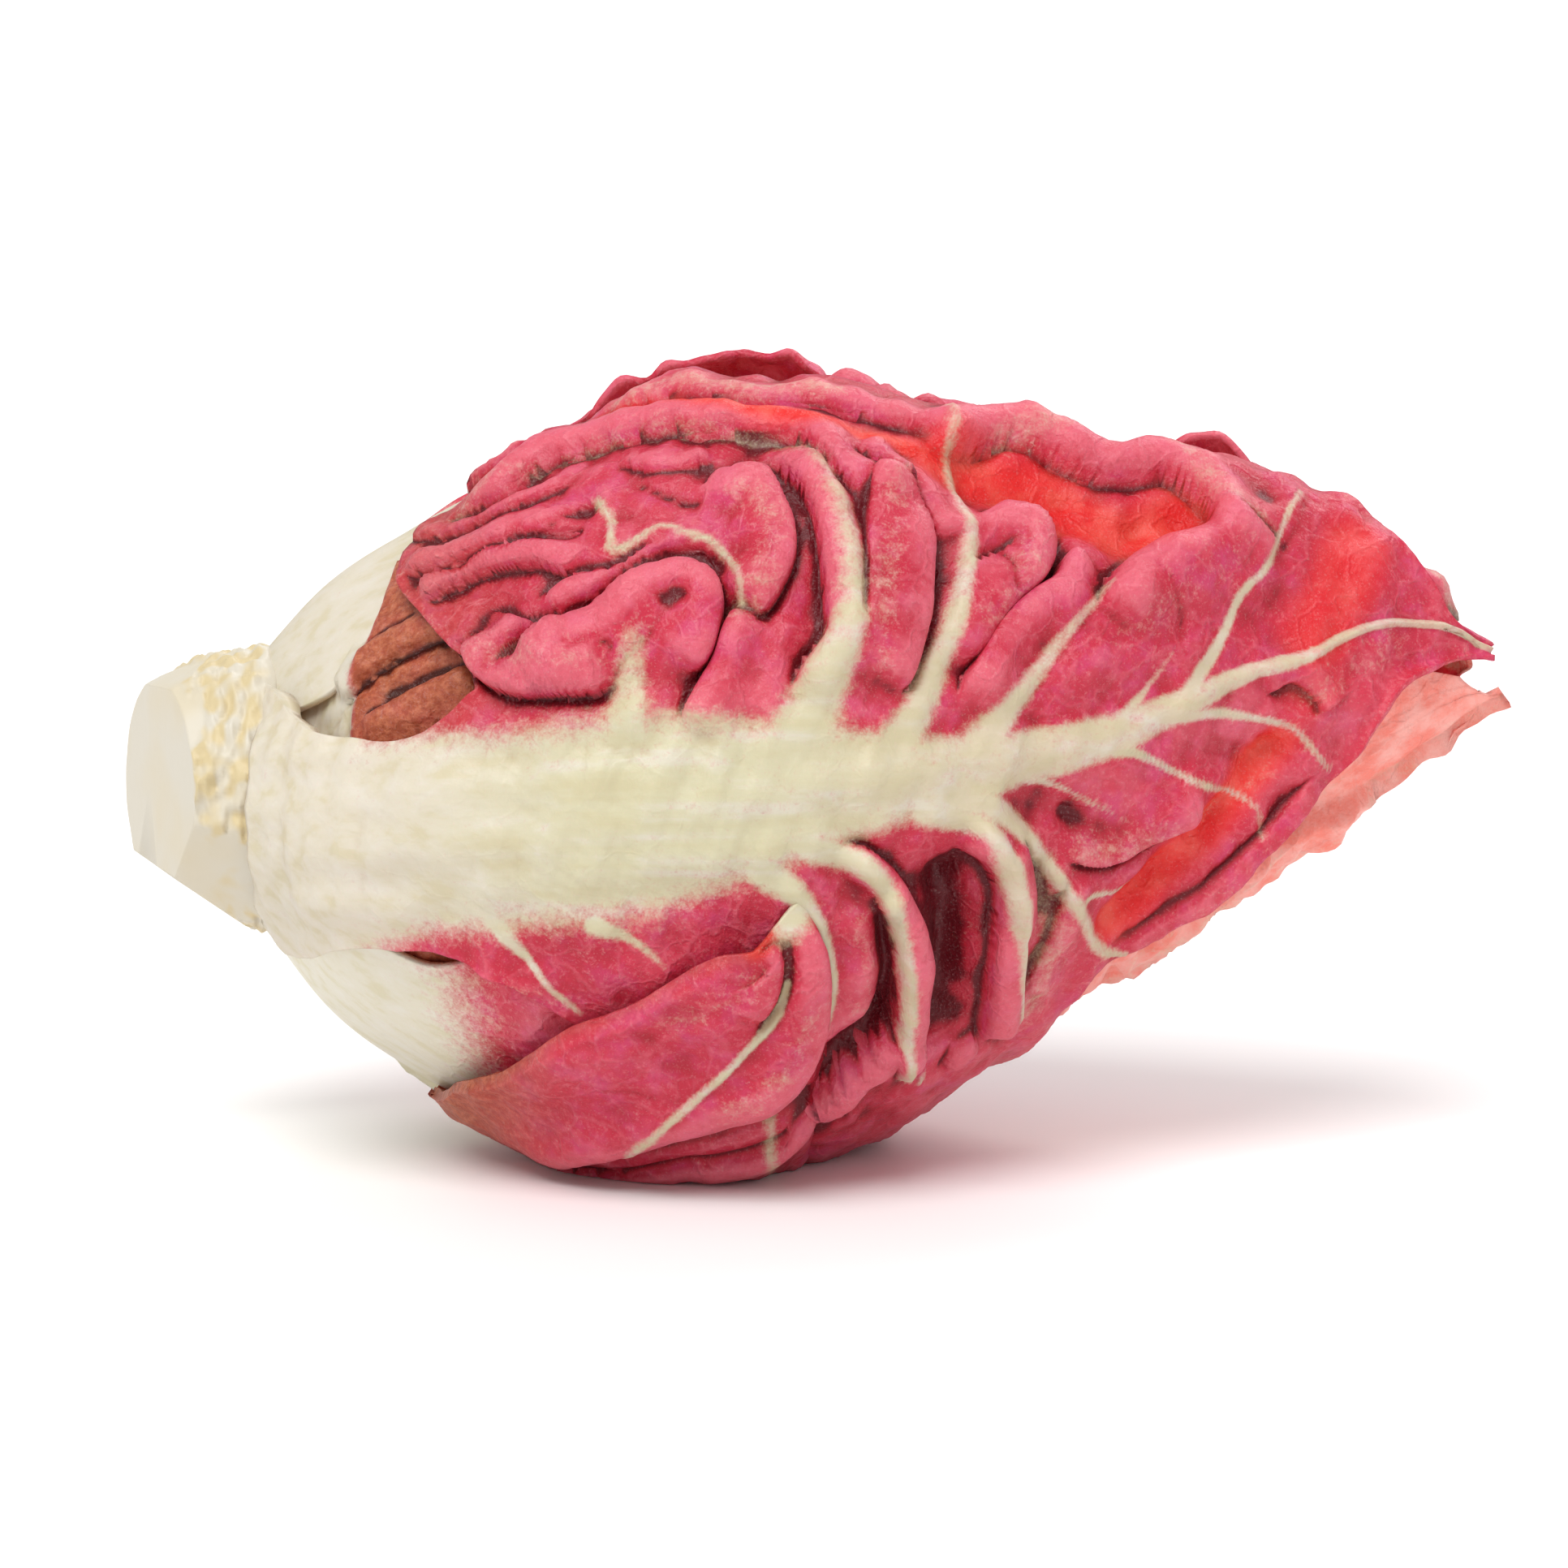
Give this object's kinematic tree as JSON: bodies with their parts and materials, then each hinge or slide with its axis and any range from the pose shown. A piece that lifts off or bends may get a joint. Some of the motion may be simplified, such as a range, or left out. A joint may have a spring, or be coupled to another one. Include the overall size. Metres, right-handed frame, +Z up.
{
  "type": "radicchio head",
  "caption": "Long head of pink radicchio, picked and lying on its side: a cut stem with a core, and crinkled leaves with cream ribs wrapped round a closed heart.",
  "frame": {"origin": "centre of the head's bounding box in plan, on the plane that it rests on", "axes": "+X along the head from the stem to the leaf tips; +Z up; -Y the side that the outermost leaf's midrib faces"},
  "size_m": [0.1599, 0.0781, 0.0892],
  "materials": {
    "leaf_blade": "velvety matt leaf tissue, pink to wine red between cream ribs, slightly translucent",
    "young_leaf": "matt young leaf tissue, brownish red, slightly translucent",
    "stem": "smooth pale cream cut stem with a rough straw-yellow ring of leaf scars"
  },
  "bodies": {
    "root": {"stem_core": "stem", "front_leaf": "leaf_blade", "back_leaf": "leaf_blade", "upper_leaf": "leaf_blade", "lower_leaf": "leaf_blade", "inner_leaf_2a": "leaf_blade", "inner_leaf_2b": "leaf_blade", "inner_leaf_3a": "leaf_blade", "inner_leaf_3b": "leaf_blade", "inner_leaf_4a": "leaf_blade", "inner_leaf_4b": "leaf_blade", "inner_leaf_5a": "young_leaf", "inner_leaf_5b": "young_leaf", "inner_leaf_6a": "young_leaf", "inner_leaf_6b": "young_leaf", "inner_leaf_7a": "young_leaf", "inner_leaf_7b": "young_leaf", "heart_bud": "young_leaf"}
  },
  "joints": []
}
